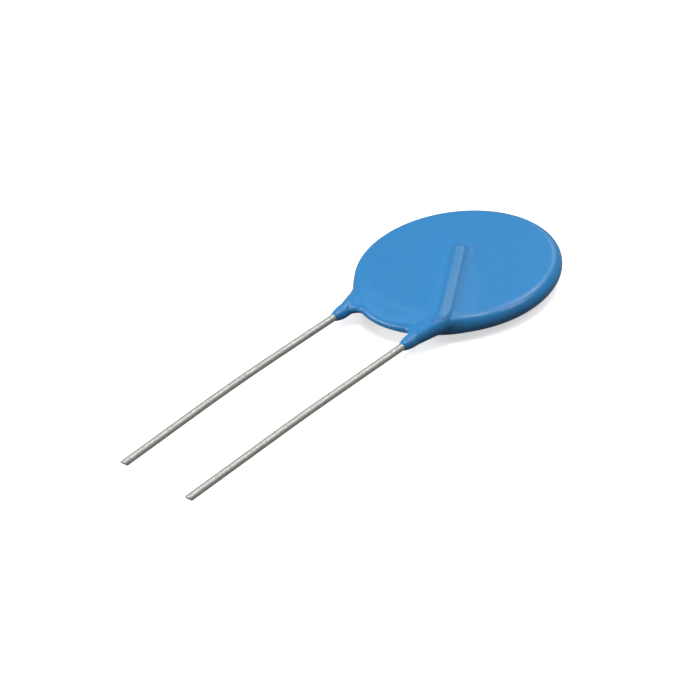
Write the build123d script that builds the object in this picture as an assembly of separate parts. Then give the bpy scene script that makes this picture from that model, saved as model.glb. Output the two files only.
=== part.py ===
"""Radial lead disc varistor: zinc oxide disc, two tinned wires and a blue epoxy dip coat.

Millimetres. The disc lies flat with its leads towards -Y and +Z up. The shape is worked out about
the middle of the disc, and every piece is then moved so that the origin is the middle of the
underside of the whole part's box.
"""
from build123d import *
from math import cos, radians, sin
import os

os.makedirs("parts", exist_ok=True)

# Leads
lead_pitch = 10.0          # between the two legs where they leave the coat
wire_d = 0.8
front_reach = 45.0         # middle of the disc to the front lead's cut end
back_reach = 44.75
front_mid_sway = 0.0       # sideways drift of the leg at its gentle bend, from its own start
front_tip_sway = 0.49      # the same at the cut end
back_mid_sway = -0.1
back_tip_sway = 0.68
leg_bend_at = 28.5         # middle of the disc to the gentle bend
leg_bend_r = 220.0
cut_slant = 42.0           # degrees between the cut end and a square cut

# Joggle and run over the disc
joggle_foot = 12.2         # middle of the disc to the corner where the leg starts to rise
joggle_top = 8.85          # middle of the disc to the corner where it has reached the face
shoulder_out = 1.5         # how far the upper corner stands outside the leg
wire_bend_r = 1.2          # of the wire's middle line, at both corners of the joggle
ridge_bend_r = 2.0         # the same for the middle line of the coat round it
run_slant = 35.5           # degrees between the run over the disc and the legs
run_past_middle = 2.2      # length of the run beyond its nearest point to the disc's middle

# Zinc oxide disc and its electrodes
ceramic_d = 20.0
ceramic_t = 1.1
ceramic_edge = 0.2
electrode_d = 18.0
electrode_t = 0.03

# Solder
solder_film = 0.05         # under the wire
solder_width = 2.2
solder_height = 0.55       # above the electrode
solder_end = 0.7           # past the wire's end
solder_inset = 0.8         # short of the electrode's rim

# Epoxy coat
coat_face = 0.55           # over the ceramic's flat faces
coat_rim = 1.2             # over the ceramic's rim
coat_wire = 0.37           # round the wire
coat_down_leads = 14.0     # middle of the disc to where the coat ends on the legs
ridge_foot_r = 1.2         # hollow at the foot of each ridge and neck
skirt_r = 9.0              # thin skirt of coat that the necks stand on, round in plan
skirt_reach = 12.15        # middle of the disc to the skirt's edge, midway between the necks
skirt_edge_t = 0.9
skirt_root_t = 2.0
skirt_slope = 22.0         # degrees that each side of the skirt falls towards its edge

wire_r = wire_d / 2
ridge_r = wire_r + coat_wire
electrode_z = ceramic_t / 2 + electrode_t
wire_z = electrode_z + solder_film + wire_r
coat_r = ceramic_d / 2 + coat_rim
coat_half = ceramic_t / 2 + coat_face


def run_direction():
    """Unit vector of the wire's run over the front face, from the shoulder inwards."""
    return Vector(-sin(radians(run_slant)), cos(radians(run_slant)), 0)


def shoulder():
    return Vector(lead_pitch / 2 + shoulder_out, -joggle_top, wire_z)


def run_length():
    """Length from the shoulder to the wire's end, past the nearest point to the middle."""
    corner = shoulder()
    direction = run_direction()
    to_nearest = -(corner.X * direction.X + corner.Y * direction.Y)
    return to_nearest + run_past_middle


def run_end():
    return shoulder() + run_direction() * run_length()


def joggle_points():
    """The wire's corners from the end of the run to the foot of the joggle."""
    return [run_end(), shoulder(), Vector(lead_pitch / 2, -joggle_foot, 0)]


def wire_path(mid_sway, tip_sway, reach):
    """Middle line of a whole lead: run, joggle, leg with one gentle bend, and a little over."""
    leg_x = lead_pitch / 2
    bend = Vector(leg_x + mid_sway, -leg_bend_at, 0)
    tip = Vector(leg_x + tip_sway, -reach, 0)
    over = tip + (tip - bend).normalized() * wire_d
    points = joggle_points() + [bend, over]
    return FilletPolyline(*points, radius=[wire_bend_r, wire_bend_r, leg_bend_r]), tip, tip - bend


def round_rod(path, radius):
    return sweep(Plane(path @ 0, z_dir=path % 0) * Circle(radius), path)


def lead(mid_sway, tip_sway, reach, short_side):
    """One bent wire, its end cut on a slant that is shortest on the given side."""
    path, tip, along = wire_path(mid_sway, tip_sway, reach)
    slant = radians(cut_slant)
    cut = Plane(tip, z_dir=along.normalized() * cos(slant) + short_side * sin(slant))
    return split(round_rod(path, wire_r), bisect_by=cut, keep=Keep.BOTTOM)


def dome(radius):
    """Half ball standing on the XY plane."""
    arc_mid = radius * sin(radians(45))
    arc = ThreePointArc((radius, 0), (arc_mid, arc_mid), (0, radius))
    outline = make_face(arc + Polyline((0, radius), (0, 0), (radius, 0)))
    return revolve(Plane.XZ * outline, Axis.Z)


def coated_wire():
    """The coat's own rod round the front wire: ridge over the disc and neck down the leg."""
    neck_end = (ridge_r**2 - wire_r**2) ** 0.5 - coat_down_leads
    points = joggle_points() + [Vector(lead_pitch / 2, neck_end, 0)]
    path = FilletPolyline(*points, radius=ridge_bend_r)
    rod = round_rod(path, ridge_r)
    inner_end = Plane(path @ 0, z_dir=-(path % 0)) * dome(ridge_r)
    outer_end = Plane(path @ 1, z_dir=path % 1) * dome(ridge_r)
    return rod + inner_end + outer_end


def coat_disc():
    """Flat round body with a full round rim."""
    flat_r = coat_r - coat_half
    rim = ThreePointArc((flat_r, -coat_half), (coat_r, 0), (flat_r, coat_half))
    inner = Polyline((flat_r, coat_half), (0, coat_half), (0, -coat_half), (flat_r, -coat_half))
    return revolve(Plane.XZ * make_face(rim + inner), Axis.Z)


def skirt():
    """Round plate that thins towards a full round rim, and stands out of the disc's own rim."""
    slope = radians(skirt_slope)
    edge, root = skirt_edge_t / 2, skirt_root_t / 2
    side_r, side_z = skirt_r - edge + edge * sin(slope), edge * cos(slope)
    root_r = side_r - (root - side_z) * cos(slope) / sin(slope)
    rim = ThreePointArc((side_r, -side_z), (skirt_r, 0), (side_r, side_z))
    top = Polyline((side_r, side_z), (root_r, root), (0, root), (0, -root))
    under = Polyline((0, -root), (root_r, -root), (side_r, -side_z))
    return Pos(0, skirt_r - skirt_reach, 0) * revolve(Plane.XZ * make_face(rim + top + under), Axis.Z)


def turned(piece):
    """The same piece on the back face: half a turn about the Y axis."""
    return piece.rotate(Axis.Y, 180)


def add_ridge(body, rod):
    """Joins a coated wire to the body and hollows the foot where they meet."""
    joined = body + rod
    return fillet(new_edges(body, rod, combined=joined), ridge_foot_r)


def coat_outside():
    front = add_ridge(coat_disc(), coated_wire())
    return add_ridge(front, turned(coated_wire())) + skirt()


def ceramic():
    disc = Cylinder(ceramic_d / 2, ceramic_t)
    return chamfer(disc.edges().filter_by(GeomType.CIRCLE), ceramic_edge)


def electrode():
    """Silver layer on the front face."""
    return Pos(0, 0, ceramic_t / 2 + electrode_t / 2) * Cylinder(electrode_d / 2, electrode_t)


def solder_profile():
    """Half of the solder's section: a foot on the electrode that slopes up to the wire."""
    foot = solder_width / 2
    top = wire_r + solder_film
    return make_face(Polyline((foot, 0), (top, solder_height), (0, solder_height), (0, 0), (foot, 0)))


def solder(wire):
    """Solder fillet along the front wire's run, closed round the wire's end."""
    start = run_end() + run_direction() * (solder_end - solder_width / 2)
    offset = run_direction().cross(Vector(0, 0, 1)).dot(shoulder())
    rim_r = electrode_d / 2 - solder_inset - solder_width / 2
    far = (rim_r**2 - offset**2) ** 0.5
    near = start.dot(run_direction())
    length = near + far
    base = Plane((start.X, start.Y, electrode_z), x_dir=run_direction().cross(Vector(0, 0, 1)))
    half = solder_profile()
    section = Plane.XZ * (half + mirror(half, about=Plane.YZ))
    bar = extrude(section, amount=length, dir=(0, -1, 0))
    cap = revolve(Plane.XZ * half, Axis.Z)
    heap = bar + cap + Pos(0, -length, 0) * cap
    return base * heap - wire


def move_to_origin(pieces):
    """Moves every piece so that the origin is the middle of the underside of their box."""
    box = Compound(list(pieces.values())).bounding_box()
    shift = Pos(-box.center().X, -box.center().Y, -box.min.Z)
    return {name: shift * piece for name, piece in pieces.items()}


def build():
    down = Vector(0, 0, -1)
    front_lead = lead(front_mid_sway, front_tip_sway, front_reach, down)
    back_lead = turned(lead(-back_mid_sway, -back_tip_sway, back_reach, -down))
    front_solder = solder(front_lead)
    back_solder = turned(solder(turned(back_lead)))
    inside = {
        "ceramic_disc": ceramic(),
        "front_electrode": electrode(),
        "back_electrode": turned(electrode()),
        "front_lead": front_lead,
        "back_lead": back_lead,
        "front_solder": front_solder,
        "back_solder": back_solder,
    }
    coating = coat_outside()
    for piece in inside.values():
        coating -= piece
    return move_to_origin({"coating": coating, **inside})


for name, piece in build().items():
    export_step(piece, f"parts/{name}.step")
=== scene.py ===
"""Looks of a radial lead disc varistor: blue epoxy dip coat and two tinned copper wires.

Metres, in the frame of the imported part: the disc lies flat, its leads point towards -Y and +Z is up.
"""
import bpy
import numpy as np
from mathutils import Matrix, Vector

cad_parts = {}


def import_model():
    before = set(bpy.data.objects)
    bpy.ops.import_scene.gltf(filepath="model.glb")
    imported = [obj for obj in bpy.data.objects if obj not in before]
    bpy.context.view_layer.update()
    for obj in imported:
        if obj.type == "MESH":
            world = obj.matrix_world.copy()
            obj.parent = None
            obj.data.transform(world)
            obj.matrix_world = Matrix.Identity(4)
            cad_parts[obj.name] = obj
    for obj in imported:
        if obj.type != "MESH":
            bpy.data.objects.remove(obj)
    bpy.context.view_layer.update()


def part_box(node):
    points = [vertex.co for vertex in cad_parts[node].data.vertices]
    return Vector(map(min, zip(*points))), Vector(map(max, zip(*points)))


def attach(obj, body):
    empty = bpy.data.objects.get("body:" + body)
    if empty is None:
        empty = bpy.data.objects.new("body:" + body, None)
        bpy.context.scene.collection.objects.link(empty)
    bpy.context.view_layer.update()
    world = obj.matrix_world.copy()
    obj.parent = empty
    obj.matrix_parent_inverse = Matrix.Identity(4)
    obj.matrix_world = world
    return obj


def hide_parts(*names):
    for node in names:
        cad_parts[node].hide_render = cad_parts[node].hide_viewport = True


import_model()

MM = 0.001

# Sizes read from the frame
coat_low, coat_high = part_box("coating")
ceramic_low, ceramic_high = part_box("ceramic_disc")
front_lead_low, front_lead_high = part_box("front_lead")
back_lead_low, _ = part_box("back_lead")
middle = np.array([0.0, (ceramic_low[1] + ceramic_high[1]) / 2, (ceramic_low[2] + ceramic_high[2]) / 2])
coat_r = coat_high[0]
crest = coat_high[2] - middle[2]
neck_end = middle[1] - coat_low[1]
wire_r = middle[2] - front_lead_low[2]
wire_z = front_lead_high[2] - middle[2] - wire_r

# Wires, measured from the middle of the disc; a sway is how far a leg bows or leans to the right
lead_pitch = 10.0 * MM
leg_bend_at = 28.5 * MM
leg_bend_r = 220 * MM
front_sways = (0.0, 0.49 * MM)
back_sways = (-0.1 * MM, 0.68 * MM)
joggle_foot = 12.2 * MM
joggle_top = 8.85 * MM
shoulder_out = 1.5 * MM
wire_bend_r = 1.2 * MM
run_slant = np.radians(35.5)
run_past_middle = 2.2 * MM
cut_slant = np.radians(42.0)
cut_spread = 1.5 * MM
wire_step = 0.25 * MM
wire_sides = 40
bend_steps = 12
front_reach = middle[1] - front_lead_low[1] - wire_r * np.tan(cut_slant)
back_reach = middle[1] - back_lead_low[1] - wire_r * np.tan(cut_slant)

# Coat: the run is the stretch of ridge over the disc, and its own foot starts past the joggle's foot
coat_half = 1.1 * MM
neck_r = 0.74 * MM
neck_taper = 1.5 * MM
taper_steps = 9
neck_lip_r = 0.385 * MM
ridge_bend_r = 2.0 * MM
cap_r = 1.0 * MM
cap_end_r = 0.9 * MM
web_inner_r = 0.9 * MM
web_outer_r = 0.3 * MM
foot_left_r = 1.6 * MM
foot_right_r = 0.9 * MM
run_from = 0.6 * MM
run_full = 0.2 * MM
swell_left = 0.04 * MM
swell_right = 0.30 * MM
swell_run = 8.5 * MM
swell_width = 2.0 * MM
swell_fades = -1.0 * MM
swell_ends = 2.0 * MM
crest_flat_r = 0.08 * MM
crest_over = 0.06 * MM
crest_drop = 0.22 * MM
skirt_r = 9.0 * MM
skirt_reach = 12.15 * MM
skirt_half = 0.5 * MM
skirt_from = 9.2 * MM
skirt_to = 11.8 * MM
outline_blend = 0.6 * MM
skin_cell = 0.14 * MM
same_direction = 0.999

# Finish of the coat, with its painted crease shade and painted crest highlight, by height from the middle
# plane and by distance from the middle towards the leads
foot_from = 1.12 * MM
foot_to = 1.20 * MM
matt_foot_from = 9.2 * MM
matt_foot_full = 6.8 * MM
crest_from = 1.72 * MM
crest_to = 1.79 * MM
crease_at = 1.56 * MM
crease_fade = 0.23 * MM
crest_highlight_at_middle = 0.55

# Light
lamp_distance = 0.6
floor_reach = 0.8
floor_white = 0.95
floor_bounce = 0.12
floor_glow = 0.6
mirrored_share = 0.25
sky_light = 0.02

# Camera, its place and the shift of the disc's middle in its picture
camera_turn = np.radians(49.45)
camera_rise = np.radians(33.46)
camera_roll = np.radians(-9.07)
camera_distance = 320 * MM
disc_right = 11.52 * MM
disc_up = 8.485 * MM
lens_mm = 154.006
sensor_mm = 36.0


def smooth(low, high, x):
    """0 up to low, 1 from high on, either way round, and the cubic 3t^2 - 2t^3 between."""
    t = np.clip((x - low) / (high - low), 0.0, 1.0)
    return t * t * (3 - 2 * t)


def unit(v):
    """Vectors at length 1."""
    return v / np.maximum(np.linalg.norm(v, axis=-1, keepdims=True), 1e-12)


# Routes of the wires

def rounded_route(corners, radii):
    """Points along a polyline whose inner corners are arcs of the given radii."""
    route = [corners[0][None, :]]
    for before, corner, after, r in zip(corners, corners[1:], corners[2:], radii):
        back, on = unit(before - corner), unit(after - corner)
        half = np.arccos(np.clip(back @ on, -1, 1)) / 2
        inward, across = unit(back + on), unit(on - back)
        centre = corner + inward * r / np.sin(half)
        angle = np.linspace(half - np.pi / 2, np.pi / 2 - half, bend_steps)[:, None]
        route.append(centre + r * (across * np.sin(angle) - inward * np.cos(angle)))
    route.append(corners[-1][None, :])
    return np.concatenate(route)


def travelled(route):
    """Length along a route up to each of its points."""
    steps = np.linalg.norm(np.diff(route, axis=0), axis=1)
    return np.concatenate([[0.0], np.cumsum(steps)])


def run_start():
    """Upper corner of the joggle, in plan."""
    return np.array([lead_pitch / 2 + shoulder_out, -joggle_top])


def run_along():
    """Direction of the wire's run over the front face, in plan."""
    return np.array([-np.sin(run_slant), np.cos(run_slant)])


def run_end():
    """End of the run, a given length past its nearest point to the middle of the disc."""
    start, along = run_start(), run_along()
    return start + along * (run_past_middle - start @ along)


def joggle_corners(height_at_end, height_at_shoulder):
    """Corners of the run and the joggle of the front wire, from the end of the run outwards."""
    end, start = run_end(), run_start()
    return [np.array([end[0], end[1], height_at_end]), np.array([start[0], start[1], height_at_shoulder]),
            np.array([lead_pitch / 2, -joggle_foot, 0.0])]


def ridge_route():
    """Middle line of the coat round the front wire and its radius at each point.

    From the neck's end the radius grows as a parabola over the taper, then stays level to the
    joggle, grows with the joggle's rise to the shoulder, and shrinks a little along the run.
    """
    tip = np.array([lead_pitch / 2, -neck_end, 0.0])
    top = crest + crest_over
    corners = joggle_corners(top - crest_drop - cap_end_r, top - cap_r)
    route = rounded_route(corners + [tip], [ridge_bend_r, ridge_bend_r])[::-1]
    taper = np.linspace(0.0, 1.0, taper_steps)[:, None]
    lip = tip + taper * np.array([0.0, neck_taper, 0.0])
    lip_r = neck_r - (neck_r - neck_lip_r) * (1 - taper[:, 0]) ** 2
    length = travelled(route)
    run = np.linalg.norm(run_end() - run_start())
    rise_r = neck_r + (cap_r - neck_r) * route[:, 2] / (top - cap_r)
    run_r = cap_r + (cap_end_r - cap_r) * (length - length[-1] + run) / run
    radii = np.where(length < length[-1] - run, rise_r, np.clip(run_r, cap_end_r, cap_r))
    return np.concatenate([lip, route[1:]]), np.concatenate([lip_r, radii[1:]])


# Coat surface: a field is the distance from a form, below 0 inside it, with the direction outwards

def body(p):
    """Disc with a full round rim, drawn out into a thinner skirt between the necks.

    |(max(d + t, 0), z)| - t, with d the distance in plan from the outline and t the half thickness.
    The outline is the disc's circle and the skirt's, joined by least(a, b) - k h (1 - h), where h
    goes from 0 to 1 as a - b goes from -k to k. The half thickness falls from the disc's to the
    skirt's towards the edge, by the share of the skirt that stands out beyond the disc there.
    """
    x, y = p[:, 0], p[:, 1]
    r, skirt_y = np.hypot(x, y), y + skirt_reach - skirt_r
    disc, skirt = r - coat_r, np.hypot(x, skirt_y) - skirt_r
    h = np.clip(0.5 + (disc - skirt) / (2 * outline_blend), 0.0, 1.0)
    outline = skirt * h + disc * (1 - h) - outline_blend * h * (1 - h)
    stands_out = np.clip((disc - skirt) / (skirt_reach - coat_r), 0.0, 1.0)
    half = coat_half - (coat_half - skirt_half) * stands_out * smooth(skirt_from, skirt_to, r)
    outwards = unit(np.column_stack([x, y + (skirt_y - y) * h]))
    beyond = np.maximum(outline + half, 0.0)
    away = np.column_stack([outwards * beyond[:, None], p[:, 2]])
    return np.linalg.norm(away, axis=1) - half, unit(away)


def rod(p, route, radii):
    """Round rod: least over the route's stretches of the distance to the stretch less its radius."""
    best = np.full(len(p), np.inf)
    direction = np.zeros_like(p)
    for a, b, radius_a, radius_b in zip(route, route[1:], radii, radii[1:]):
        t = np.clip((p - a) @ (b - a) / ((b - a) @ (b - a)), 0.0, 1.0)
        away = p - a - t[:, None] * (b - a)
        distance = np.linalg.norm(away, axis=1) - radius_a - t * (radius_b - radius_a)
        nearer = distance < best
        best = np.where(nearer, distance, best)
        direction[nearer] = away[nearer]
    return best, unit(direction)


def joined(first, second, r):
    """Union of two fields with a hollow foot, the arc left by a ball of radius r in their corner.

    With distances a and b, directions g and h and c = g.h, the ball's middle is at m g + n h,
    m = ((r - a) - c (r - b)) / (1 - c^2), n the same with a and b changed over. Where m and n are
    above 0 the union is r - |m g + n h|, and elsewhere it is the smaller of a and b.
    """
    (a, g), (b, h) = first, second
    c = np.clip((g * h).sum(axis=1), -same_direction, same_direction)
    m = ((r - a) - c * (r - b)) / (1 - c * c)
    n = ((r - b) - c * (r - a)) / (1 - c * c)
    to_ball = m[:, None] * g + n[:, None] * h
    hollow = (m > 0) & (n > 0)
    value = np.where(hollow, r - np.linalg.norm(to_ball, axis=1), np.minimum(a, b))
    nearer = np.where((a < b)[:, None], g, h)
    return value, np.where(hollow[:, None], unit(to_ball), nearer)


def flattened(p, form):
    """A form cut off level with the crest, which drops evenly along the run, its edge rounded.

    With a and b the distances to the form and to the level, above -r both, the cut is
    |(a + r, b + r)| - r, and elsewhere the larger of a and b.
    """
    share = np.clip((p[:, 1] + joggle_top) / (run_end()[1] + joggle_top), 0.0, 1.0)
    (a, g), b, r = form, p[:, 2] - crest + crest_drop * share, crest_flat_r
    up = np.broadcast_to([0.0, 0.0, 1.0], p.shape)
    edge = (a > -r) & (b > -r)
    rounded = np.hypot(a + r, b + r) - r
    across = unit((a + r)[:, None] * g + (b + r)[:, None] * up)
    value = np.where(edge, rounded, np.maximum(a, b))
    return value, np.where(edge[:, None], across, np.where((a > b)[:, None], g, up))


def beside_wire(x, y):
    """Distance in plan to the right of the front wire, and the share of the run against the leg."""
    start, along = run_start(), run_along()
    u_run = (x - start[0]) * along[1] - (y - start[1]) * along[0]
    on_run = smooth(-joggle_foot + run_from, -joggle_top + run_full, y)
    return (x - lead_pitch / 2) * (1 - on_run) + u_run * on_run, on_run


def with_ridge(p, coat):
    """Coat joined to the front wire's rod, with a foot of its own on each side of the wire.

    The disc's coat swells beside the run by height exp(-(u / width)^2), with u the distance from
    the wire in plan. The height rises on the right from the run's end back towards the joggle.
    """
    u, on_run = beside_wire(p[:, 0], p[:, 1])
    right = smooth(-neck_r, neck_r, u)
    run_foot = foot_left_r + (foot_right_r - foot_left_r) * right
    web = web_inner_r + (web_outer_r - web_inner_r) * right
    foot = web + (run_foot - web) * on_run
    along = (p[:, :2] - run_end()) @ run_along()
    height = swell_left + (swell_right - swell_left) * right * smooth(0.0, -swell_run, along)
    swell = height * np.exp(-(u / swell_width) ** 2) * on_run * smooth(swell_ends, swell_fades, along)
    value, direction = coat
    swollen = value - swell * smooth(0.0, coat_half, p[:, 2]), direction
    return joined(swollen, flattened(p, rod(p, *ridge_route())), foot)


def coat_field(p):
    """The body joined to the front wire's rod and, turned over, to the back wire's.

    A level cut across the leads ends both necks: the field is the larger of the distances.
    """
    turn = np.array([-1.0, 1.0, -1.0])
    value, direction = with_ridge(p, body(p))
    value, direction = with_ridge(p * turn, (value, direction * turn))
    direction = direction * turn
    short = -p[:, 1] - neck_end
    end = np.broadcast_to([0.0, -1.0, 0.0], p.shape)
    beyond = short > value
    return np.where(beyond, short, value), np.where(beyond[:, None], end, direction)


def onto_skin(field, p, rounds=4):
    """Steps onto the zero surface: each point moves back along the outward direction."""
    for _ in range(rounds):
        value, direction = field(p)
        p = p - value[:, None] * direction
    return p


def grid_skin(field, low, high, cell):
    """Points and four-sided faces of the zero surface of a field.

    The field is worked out at the corners of a grid of cells. Each cell that the surface crosses
    gets one point, the mean of the crossings on its 12 edges, and each crossed grid edge gets one
    face that joins the points of the four cells round it.
    """
    axes = [np.arange(a, b + cell, cell) for a, b in zip(low, high)]
    corners = np.stack(np.meshgrid(*axes, indexing="ij"), axis=-1)
    shape = corners.shape[:3]
    value = field(corners.reshape(-1, 3))[0].reshape(shape)
    inside = value < 0
    cells = tuple(n - 1 for n in shape)
    total = np.zeros(cells + (3,))
    count = np.zeros(cells)
    crossed = []
    for axis in range(3):
        head = [slice(None)] * 3
        tail = [slice(None)] * 3
        head[axis] = slice(None, -1)
        tail[axis] = slice(1, None)
        head, tail = tuple(head), tuple(tail)
        change = inside[head] != inside[tail]
        gap = np.where(change, value[head] - value[tail], 1.0)
        t = np.where(change, value[head] / gap, 0.0)
        place = corners[head] + (corners[tail] - corners[head]) * t[..., None]
        place = place * change[..., None]
        others = [a for a in range(3) if a != axis]
        for first in (slice(None, -1), slice(1, None)):
            for second in (slice(None, -1), slice(1, None)):
                pick = [slice(None)] * 3
                pick[others[0]] = first
                pick[others[1]] = second
                total += place[tuple(pick)]
                count += change[tuple(pick)]
        crossed.append((axis, others, change, inside[head]))
    used = count > 0
    number = -np.ones(cells, dtype=np.int64)
    number[used] = np.arange(used.sum())
    points = total[used] / count[used][:, None]
    faces = []
    for axis, others, change, starts_inside in crossed:
        where = np.argwhere(change)
        flip = starts_inside[change]
        ring = []
        for back_first, back_second in ((1, 1), (0, 1), (0, 0), (1, 0)):
            at = where.copy()
            at[:, others[0]] -= back_first
            at[:, others[1]] -= back_second
            ring.append(number[at[:, 0], at[:, 1], at[:, 2]])
        quad = np.stack(ring, axis=1)
        turned_over = flip if axis != 1 else ~flip
        faces.append(np.where(turned_over[:, None], quad, quad[:, ::-1]))
    return points, np.concatenate(faces)


def relaxed(field, points, faces, rounds=4):
    """Evens out the mesh: each point moves halfway to its neighbours' mean, then onto the skin."""
    ends = np.concatenate([faces[:, [i, (i + 1) % 4]] for i in range(4)])
    a, b = ends[:, 0], ends[:, 1]
    count = np.bincount(a, minlength=len(points))[:, None]
    for _ in range(rounds):
        mean = np.stack([np.bincount(a, points[b, i], len(points)) for i in range(3)], axis=1) / count
        points = onto_skin(field, (points + mean) / 2, rounds=1)
    return onto_skin(field, points, rounds=2)


def mesh_object(name, points, faces, material):
    """Smooth shaded object at the origin with its place in its mesh."""
    mesh = bpy.data.meshes.new(name)
    mesh.from_pydata(points.tolist(), [], faces)
    mesh.polygons.foreach_set("use_smooth", np.ones(len(faces), dtype=bool))
    mesh.materials.append(material)
    mesh.update()
    piece = bpy.data.objects.new(name, mesh)
    bpy.context.scene.collection.objects.link(piece)
    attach(piece, "root")
    return piece


def epoxy_coat(material):
    """The coat's zero surface on a grid with three cells to spare, evened out, as one piece."""
    room = 3 * skin_cell
    low = np.array([-coat_r, -neck_end, -crest]) - room
    high = np.array([coat_r, coat_r, crest]) + room
    points, faces = grid_skin(coat_field, low, high, skin_cell)
    points = relaxed(coat_field, onto_skin(coat_field, points), faces)
    coat = mesh_object("epoxy_coat", points + middle, faces.tolist(), material)
    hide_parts("coating")
    return coat


# Wires

def evened(route, step):
    """The same route with points at equal steps."""
    length = travelled(route)
    places = np.linspace(0.0, length[-1], int(length[-1] / step))
    return np.stack([np.interp(places, length, route[:, i]) for i in range(3)], axis=1)


def tube(route, radius, sides, cut):
    """Closed tube: at each route point a ring, radius (cos a, sin a) in the plane across the route.

    Points near the last ring slide along the route by their height times the cut's tangent, times
    (1 - d / D)^2 at the distance d from the end, so that the last ring lies in the slanted cut.
    """
    ahead = unit(np.gradient(route, axis=0))
    side = unit(np.cross(ahead, [0.0, 0.0, 1.0]))
    up = np.cross(side, ahead)
    a = np.linspace(0, 2 * np.pi, sides, endpoint=False)[None, :, None]
    ring = side[:, None] * np.cos(a) + up[:, None] * np.sin(a)
    points = route[:, None] + radius * ring
    length = travelled(route)
    share = np.clip(1 - (length[-1] - length) / cut_spread, 0.0, 1.0) ** 2 * np.tan(cut)
    height = points[:, :, 2:] - route[:, None, 2:]
    points = points + ahead[:, None] * height * share[:, None, None]
    rows = len(route)
    index = np.arange(rows * sides).reshape(rows, sides)
    on = np.roll(index, -1, axis=1)
    walls = np.stack([index[:-1], index[1:], on[1:], on[:-1]], axis=-1).reshape(-1, 4)
    ends = [index[0].tolist(), index[-1, ::-1].tolist()]
    return points.reshape(-1, 3), walls.tolist() + ends


def wire(name, material, node, reach, sways, turn):
    """One tinned wire: run, joggle and leg, worked out as the front one and turned for the back."""
    leg_x = lead_pitch / 2
    bend = np.array([leg_x + sways[0] * turn[0], -leg_bend_at, 0.0])
    tip = np.array([leg_x + sways[1] * turn[0], -reach, 0.0])
    corners = joggle_corners(wire_z, wire_z) + [bend, tip]
    route = rounded_route(corners, [wire_bend_r, wire_bend_r, leg_bend_r]) * turn
    points, faces = tube(evened(route, wire_step), wire_r, wire_sides, cut_slant)
    piece = mesh_object(name, points + middle, faces, material)
    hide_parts(node)
    return piece


# Materials, on Object coordinates, with scales per metre

def new_material(name):
    """New material and its node tree."""
    material = bpy.data.materials.new(name)
    material.use_nodes = True
    return material, material.node_tree


def principled(tree):
    """Inputs of a tree's own surface shader."""
    return next(n for n in tree.nodes if n.type == "BSDF_PRINCIPLED").inputs


def painted(tree, colour, roughness, normal, metallic=0.0):
    """Puts colour, roughness and normal on the surface shader."""
    inputs = principled(tree)
    tree.links.new(colour, inputs["Base Color"])
    tree.links.new(roughness, inputs["Roughness"])
    tree.links.new(normal, inputs["Normal"])
    inputs["Metallic"].default_value = metallic


def object_place(tree):
    """Place on the piece."""
    return tree.nodes.new("ShaderNodeTexCoord").outputs["Object"]


def noise(tree, place, scale, detail):
    """Cloudy noise between 0 and 1."""
    node = tree.nodes.new("ShaderNodeTexNoise")
    node.inputs["Scale"].default_value = scale
    node.inputs["Detail"].default_value = detail
    tree.links.new(place, node.inputs["Vector"])
    return node.outputs["Fac"]


def cells(tree, place, scale):
    """Distance from the nearest of scattered points, 0 at each."""
    node = tree.nodes.new("ShaderNodeTexVoronoi")
    node.inputs["Scale"].default_value = scale
    tree.links.new(place, node.inputs["Vector"])
    return node.outputs["Distance"]


def stretched(tree, place, factors, turn=0.0):
    """Place turned about +Z and scaled along each axis."""
    node = tree.nodes.new("ShaderNodeMapping")
    node.inputs["Scale"].default_value = factors
    node.inputs["Rotation"].default_value = (0.0, 0.0, turn)
    tree.links.new(place, node.inputs["Vector"])
    return node.outputs["Vector"]


def calculated(tree, operation, first, second=0.0):
    """Result of a sum on two sockets or numbers."""
    node = tree.nodes.new("ShaderNodeMath")
    node.operation = operation
    for socket, value in zip(node.inputs, (first, second)):
        if isinstance(value, float):
            socket.default_value = value
        else:
            tree.links.new(value, socket)
    return node.outputs["Value"]


def ranged(tree, value, low, high, from_low=0.3, from_high=0.7, even=False):
    """Value carried from one range to another, smoothly or evenly."""
    node = tree.nodes.new("ShaderNodeMapRange")
    node.interpolation_type = "LINEAR" if even else "SMOOTHSTEP"
    node.inputs["From Min"].default_value = from_low
    node.inputs["From Max"].default_value = from_high
    node.inputs["To Min"].default_value = low
    node.inputs["To Max"].default_value = high
    tree.links.new(value, node.inputs["Value"])
    return node.outputs["Result"]


def blended(tree, share, first, second):
    """Second colour over the first, by a share."""
    node = tree.nodes.new("ShaderNodeMix")
    node.data_type = "RGBA"
    for name, colour in (("A", first), ("B", second)):
        if isinstance(colour, tuple):
            node.inputs[name].default_value = colour + (1.0,)
        else:
            tree.links.new(colour, node.inputs[name])
    tree.links.new(share, node.inputs["Factor"])
    return node.outputs["Result"]


def bumped(tree, height, distance, strength, under=None):
    """Normal with a relief of the given depth, on top of another normal if there is one."""
    node = tree.nodes.new("ShaderNodeBump")
    node.inputs["Distance"].default_value = distance
    node.inputs["Strength"].default_value = strength
    tree.links.new(height, node.inputs["Height"])
    if under is not None:
        tree.links.new(under, node.inputs["Normal"])
    return node.outputs["Normal"]


def from_middle(tree, place):
    """Distance towards +Y from the disc's middle, and distance above or below its middle plane."""
    parts = tree.nodes.new("ShaderNodeSeparateXYZ")
    tree.links.new(place, parts.inputs["Vector"])
    height = calculated(tree, "SUBTRACT", parts.outputs["Z"], float(middle[2]))
    ahead = calculated(tree, "SUBTRACT", parts.outputs["Y"], float(middle[1]))
    return ahead, calculated(tree, "ABSOLUTE", height)


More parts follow.
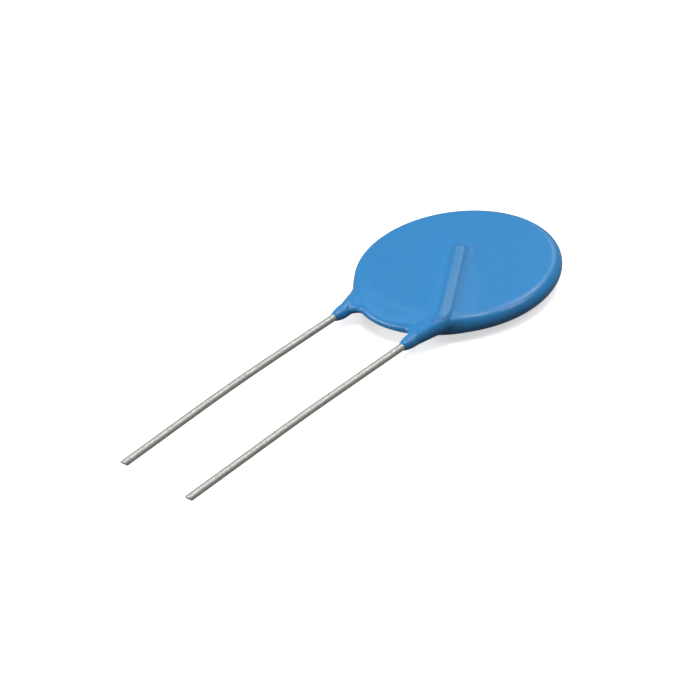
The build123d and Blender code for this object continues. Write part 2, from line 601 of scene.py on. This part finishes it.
def ridge_painted_light_and_foot(tree, place):
    """Shares from 0 to 1 of the ridge's crest, where a greyer highlight is painted, of the crease beside
    it, where shade is painted, and of its foot.

    Height is taken with the crest's drop along the run added back. The painted crest highlight is weaker
    towards the middle of the disc, and the foot counts only past the rim.
    """
    ahead, raised = from_middle(tree, place)
    drop = ranged(tree, ahead, 0.0, crest_drop, -joggle_top, float(run_end()[1]), even=True)
    height = calculated(tree, "ADD", raised, drop)
    top = ranged(tree, height, 0.0, 1.0, crest_from, crest_to)
    # The painted crest highlight fades towards the middle of the disc
    highlight_fade = ranged(tree, ahead, 1.0, crest_highlight_at_middle, -joggle_top, 0.0)
    # Painted shade in the crease beside the ridge, strongest at the crease's height
    off_crease = calculated(tree, "ABSOLUTE", calculated(tree, "SUBTRACT", height, crease_at))
    crease = ranged(tree, off_crease, 1.0, 0.0, 0.0, crease_fade)
    above_face = ranged(tree, raised, 0.0, 1.0, foot_from, foot_to)
    below_crest = ranged(tree, height, 1.0, 0.0, crease_at, crest_to)
    past_rim = ranged(tree, ahead, 0.0, 1.0, -matt_foot_from, -matt_foot_full)
    foot = calculated(tree, "MULTIPLY", calculated(tree, "MULTIPLY", above_face, below_crest), past_rim)
    return calculated(tree, "MULTIPLY", top, highlight_fade), crease, foot


def blue_epoxy():
    """Satin dip coat: faintly cloudy blue, orange peel, a powder grain, matt feet, painted shade in the
    creases beside the ridges and a painted greyer highlight along the crests.
    """
    deep, pale = (0.0292, 0.260, 0.620), (0.0315, 0.276, 0.639)
    # Painted shade for the creases beside the ridges, and a painted highlight, greyer and lighter, for
    # their crests
    crease_painted_shade, crest_painted_highlight = (0.030, 0.225, 0.530), (0.098, 0.290, 0.560)
    satin, less_satin = 0.285, 0.305
    matt_hollow, matt_crest = 0.3, 0.2
    material, tree = new_material("blue_epoxy")
    place = object_place(tree)
    cloud = noise(tree, place, scale=420.0, detail=1.0)
    fleck = noise(tree, place, scale=1300.0, detail=0.0)
    peel = noise(tree, place, scale=1500.0, detail=2.0)
    grain = noise(tree, place, scale=9000.0, detail=1.0)
    crest_highlight_share, crease_shade_share, foot_share = ridge_painted_light_and_foot(tree, place)
    mix = calculated(tree, "MULTIPLY", calculated(tree, "ADD", cloud, fleck), 0.5)
    colour = blended(tree, ranged(tree, mix, 0.0, 1.0, 0.2, 0.8), deep, pale)
    # Painted shade in the creases beside the ridges
    colour = blended(tree, crease_shade_share, colour, crease_painted_shade)
    # Painted highlight along the ridges' crests
    colour = blended(tree, crest_highlight_share, colour, crest_painted_highlight)
    hollow = calculated(tree, "MAXIMUM", foot_share, crease_shade_share)
    roughness = ranged(tree, mix, satin, less_satin, 0.2, 0.8)
    roughness = calculated(tree, "ADD", roughness, calculated(tree, "MULTIPLY", hollow, matt_hollow))
    roughness = calculated(tree, "ADD", roughness, calculated(tree, "MULTIPLY", crest_highlight_share, matt_crest))
    normal = bumped(tree, peel, distance=0.02 * MM, strength=0.5)
    normal = bumped(tree, grain, distance=0.002 * MM, strength=0.2, under=normal)
    painted(tree, colour, roughness, normal)
    return material


def tinned_wire():
    """Drawn copper wire with a dull tin skin: lengthwise streaks, mottling and small dents."""
    dull, bright = (0.41, 0.415, 0.387), (0.54, 0.545, 0.516)
    lengthwise = (1.0, 0.06, 1.0)
    material, tree = new_material("tinned_wire")
    place = object_place(tree)
    streak = noise(tree, stretched(tree, place, lengthwise), scale=9000.0, detail=3.0)
    mottle = noise(tree, place, scale=4200.0, detail=3.0)
    colour = blended(tree, ranged(tree, mottle, 0.0, 1.0), dull, bright)
    normal = bumped(tree, streak, distance=0.008 * MM, strength=0.5)
    normal = bumped(tree, mottle, distance=0.012 * MM, strength=0.4, under=normal)
    painted(tree, colour, ranged(tree, mottle, 0.62, 0.52), normal, metallic=1.0)
    return material


def zinc_oxide():
    """Sintered ceramic: dark grey-green, matt, fine grains and a few pores, with painted shade in the
    pores.
    """
    # The third colour is painted shade for the pores
    dark, light, pore_painted_shade = (0.070, 0.080, 0.070), (0.120, 0.135, 0.115), (0.030, 0.034, 0.030)
    pore, round_pore = 0.05, 0.16
    material, tree = new_material("zinc_oxide")
    place = object_place(tree)
    grain = cells(tree, place, scale=16000.0)
    cloud = noise(tree, place, scale=700.0, detail=4.0)
    pores = cells(tree, place, scale=2600.0)
    colour = blended(tree, ranged(tree, cloud, 0.0, 1.0), dark, light)
    # Painted shade darkens the pores
    colour = blended(tree, ranged(tree, pores, 1.0, 0.0, pore, round_pore), colour, pore_painted_shade)
    pits = ranged(tree, pores, 0.0, 1.0, pore, round_pore)
    normal = bumped(tree, grain, distance=0.006 * MM, strength=0.6)
    normal = bumped(tree, pits, distance=0.02 * MM, strength=0.5, under=normal)
    painted(tree, colour, ranged(tree, cloud, 0.62, 0.78), normal)
    return material


def fired_silver():
    """Screen printed and fired silver: matt, with the screen's faint weave and a yellowish tarnish."""
    tarnished, clean = (0.70, 0.67, 0.60), (0.80, 0.79, 0.76)
    weave_turn = np.pi / 4
    material, tree = new_material("fired_silver")
    place = object_place(tree)
    tarnish = noise(tree, place, scale=420.0, detail=4.0)
    grain = noise(tree, place, scale=14000.0, detail=2.0)
    colour = blended(tree, ranged(tree, tarnish, 0.0, 1.0), tarnished, clean)
    normal = bumped(tree, grain, distance=0.006 * MM, strength=0.7)
    for one_way in ((1.0, 0.0, 0.0), (0.0, 1.0, 0.0)):
        threads = tree.nodes.new("ShaderNodeTexWave")
        threads.inputs["Scale"].default_value = 1200.0
        threads.inputs["Distortion"].default_value = 0.4
        tree.links.new(stretched(tree, place, one_way, weave_turn), threads.inputs["Vector"])
        normal = bumped(tree, threads.outputs["Fac"], distance=0.003 * MM, strength=0.4, under=normal)
    painted(tree, colour, ranged(tree, tarnish, 0.58, 0.46), normal, metallic=1.0)
    return material


def solder():
    """Reflowed solder: grey and frosty, with grain boundaries and brighter runs."""
    frosty, bright = (0.46, 0.46, 0.47), (0.68, 0.68, 0.67)
    material, tree = new_material("solder")
    place = object_place(tree)
    frost = noise(tree, place, scale=1800.0, detail=4.0)
    grain = cells(tree, place, scale=5200.0)
    colour = blended(tree, ranged(tree, frost, 0.0, 1.0), frosty, bright)
    normal = bumped(tree, grain, distance=0.012 * MM, strength=0.5)
    normal = bumped(tree, frost, distance=0.02 * MM, strength=0.4, under=normal)
    painted(tree, colour, ranged(tree, frost, 0.46, 0.26), normal, metallic=1.0)
    return material


def finished(node, material):
    """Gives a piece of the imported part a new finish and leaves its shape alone."""
    mesh = bpy.data.objects[node].data
    mesh.materials.clear()
    mesh.materials.append(material)


# Stage

def shown(tree):
    """How much of full white to show, and whether the camera looks straight at it.

    1 to the camera, a share of 1 in a mirror or through glass, and 0 to every other ray.
    """
    path = tree.nodes.new("ShaderNodeLightPath").outputs
    mirrored = calculated(tree, "MAXIMUM", path["Is Glossy Ray"], path["Is Transmission Ray"])
    mirrored = calculated(tree, "MULTIPLY", mirrored, mirrored_share)
    return calculated(tree, "MAXIMUM", path["Is Camera Ray"], mirrored), path["Is Camera Ray"]


def floor():
    """White floor that keeps the shadow and throws little light back up."""
    mesh = bpy.data.meshes.new("floor")
    corners = [(x * floor_reach, y * floor_reach, 0.0) for x, y in ((-1, -1), (1, -1), (1, 1), (-1, 1))]
    mesh.from_pydata(corners, [], [(0, 1, 2, 3)])
    material, tree = new_material("white_floor")
    inputs = principled(tree)
    seen, by_camera = shown(tree)
    colour = blended(tree, seen, (floor_bounce,) * 3, (floor_white,) * 3)
    glow = calculated(tree, "MULTIPLY", by_camera, floor_glow)
    tree.links.new(colour, inputs["Base Color"])
    tree.links.new(glow, inputs["Emission Strength"])
    inputs["Emission Color"].default_value = (1.0, 1.0, 1.0, 1.0)
    inputs["Roughness"].default_value = 0.9
    inputs["Specular IOR Level"].default_value = 0.0
    mesh.materials.append(material)
    piece = bpy.data.objects.new("floor", mesh)
    bpy.context.scene.collection.objects.link(piece)


def softbox(name, azimuth, elevation, width, height, power):
    """Square-cornered lamp that faces the disc's middle, azimuth from +X towards +Y."""
    turn, rise = np.radians(azimuth), np.radians(elevation)
    away = Vector((np.cos(turn) * np.cos(rise), np.sin(turn) * np.cos(rise), np.sin(rise)))
    lamp = bpy.data.lights.new(name, "AREA")
    lamp.shape = "RECTANGLE"
    lamp.size = width
    lamp.size_y = height
    lamp.energy = power
    piece = bpy.data.objects.new(name, lamp)
    piece.location = Vector(middle) + away * lamp_distance
    piece.rotation_euler = away.to_track_quat("Z", "Y").to_euler()
    bpy.context.scene.collection.objects.link(piece)


def camera():
    """Camera beside the leads, looking down on the disc from the front right, rolled a little."""
    turn, rise, roll = camera_turn, camera_rise, camera_roll
    back = np.array([np.sin(turn) * np.cos(rise), -np.cos(turn) * np.cos(rise), np.sin(rise)])
    level = np.array([np.cos(turn), np.sin(turn), 0.0])
    over = np.cross(back, level)
    right = np.cos(roll) * level + np.sin(roll) * over
    up = np.cos(roll) * over - np.sin(roll) * level
    place = middle + back * camera_distance - right * disc_right - up * disc_up
    data = bpy.data.cameras.new("camera")
    data.lens = lens_mm
    data.sensor_width = sensor_mm
    data.clip_start = 0.01
    piece = bpy.data.objects.new("camera", data)
    piece.matrix_world = Matrix([*np.column_stack([right, up, back, place]).tolist(), (0, 0, 0, 1)])
    bpy.context.scene.collection.objects.link(piece)
    bpy.context.scene.camera = piece


def world():
    """White surroundings that add almost no light to the part."""
    sky = bpy.data.worlds.new("studio")
    sky.use_nodes = True
    light = next(n for n in sky.node_tree.nodes if n.type == "BACKGROUND")
    light.inputs["Color"].default_value = (1.0, 1.0, 1.0, 1.0)
    seen, _ = shown(sky.node_tree)
    strength = calculated(sky.node_tree, "MAXIMUM", seen, sky_light)
    sky.node_tree.links.new(strength, light.inputs["Strength"])
    bpy.context.scene.world = sky


bpy.context.scene.view_settings.view_transform = "Standard"
camera()
world()
floor()
softbox("overhead", 0, 82, 0.20, 0.20, 1.15)
softbox("behind", 90, 55, 0.25, 0.25, 0.93)
softbox("right", 30, 50, 0.25, 0.25, 0.85)
softbox("low behind", 113, 28, 0.24, 0.20, 0.24)
softbox("far left", 145, 52, 0.40, 0.25, 0.24)
softbox("left", 232, 20, 0.55, 0.30, 2.60)

epoxy = blue_epoxy()
tin = tinned_wire()
silver = fired_silver()
joint = solder()
epoxy_coat(epoxy)
wire("front_wire", tin, "front_lead", front_reach, front_sways, np.array([1.0, 1.0, 1.0]))
wire("back_wire", tin, "back_lead", back_reach, back_sways, np.array([-1.0, 1.0, -1.0]))
finished("ceramic_disc", zinc_oxide())
finished("front_electrode", silver)
finished("back_electrode", silver)
finished("front_solder", joint)
finished("back_solder", joint)
